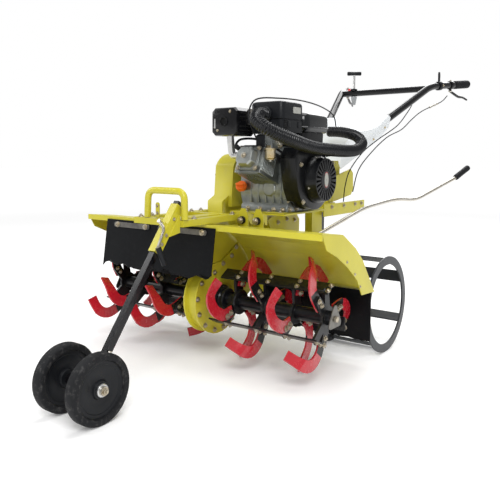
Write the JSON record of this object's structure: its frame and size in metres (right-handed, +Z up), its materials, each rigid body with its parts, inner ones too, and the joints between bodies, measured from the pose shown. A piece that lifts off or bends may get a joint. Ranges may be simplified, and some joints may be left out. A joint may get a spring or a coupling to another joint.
{
  "type": "walking tractor",
  "caption": "Two-handled walking tractor with a front tine rotor, cast petrol engine, yellow fenders, small front transport wheels and steel cage wheels at the rear.",
  "frame": {"origin": "middle of the machine's length and width, on the floor", "axes": "+Z up, -Y towards the front wheels, +X towards the machine's left"},
  "size_m": [0.964, 2.363, 1.1135],
  "materials": {
    "yellow_paint": "worn gloss",
    "black_paint": "satin",
    "red_paint": "gloss",
    "rubber": "matte",
    "zinc": "zinc plated",
    "cast_aluminium": "cast",
    "white_plastic": "matte"
  },
  "bodies": {
    "chassis": {"chain_case": "yellow_paint", "gearbox": "yellow_paint", "fender_left": "yellow_paint", "fender_right": "yellow_paint", "main_frame": "yellow_paint", "engine_plate": "yellow_paint", "bumper_hoop": "yellow_paint", "strut_sleeve": "yellow_paint", "belt_cover": "yellow_paint", "handle_column": "yellow_paint", "shift_gate": "yellow_paint", "fan_shroud": "black_paint", "recoil_starter": "black_paint", "muffler": "black_paint", "air_cleaner": "black_paint", "fuel_tank": "black_paint", "handle_frame": "black_paint", "clutch_lever_left": "black_paint", "clutch_lever_right": "black_paint", "throttle_lever": "black_paint", "hitch_post": "black_paint", "rear_flap_left": "rubber", "rear_flap_right": "rubber", "front_flap": "rubber", "range_grip": "rubber", "grip_left": "rubber", "grip_right": "rubber", "intake_hose": "rubber", "throttle_cable": "rubber", "clutch_cable": "rubber", "choke_cable": "rubber", "clamp_handle": "zinc", "range_lever": "zinc", "t_lever": "zinc", "engine_block": "cast_aluminium", "valve_cover": "cast_aluminium", "carburettor": "cast_aluminium", "cowl": "white_plastic"},
    "front_strut": {"strut": "black_paint", "front_axle": "black_paint"},
    "front_wheels": {"front_wheel_left": "rubber", "front_wheel_right": "rubber"},
    "rotor": {"rotor_shaft": "black_paint", "tine_set_left": "red_paint", "tine_set_right": "red_paint"},
    "cage_axle": {"rear_axle": "black_paint", "cage_wheel_left": "black_paint", "cage_wheel_right": "black_paint"}
  },
  "joints": [
    {"name": "strut_slide", "type": "slide", "parent": "chassis", "child": "front_strut", "axis": [0, 0.5971, 0.8022], "range_m": [-0.03, 0.2]},
    {"name": "front_wheel_spin", "type": "hinge", "parent": "front_strut", "child": "front_wheels", "pos_m": [0.0476, -1.0913, 0.0902], "axis": [1, 0, 0], "continuous": true},
    {"name": "rotor_spin", "type": "hinge", "parent": "chassis", "child": "rotor", "pos_m": [0, -0.4973, 0.192], "axis": [1, 0, 0], "continuous": true},
    {"name": "cage_spin", "type": "hinge", "parent": "chassis", "child": "cage_axle", "pos_m": [0, -0.1283, 0.164], "axis": [1, 0, 0], "continuous": true}
  ]
}
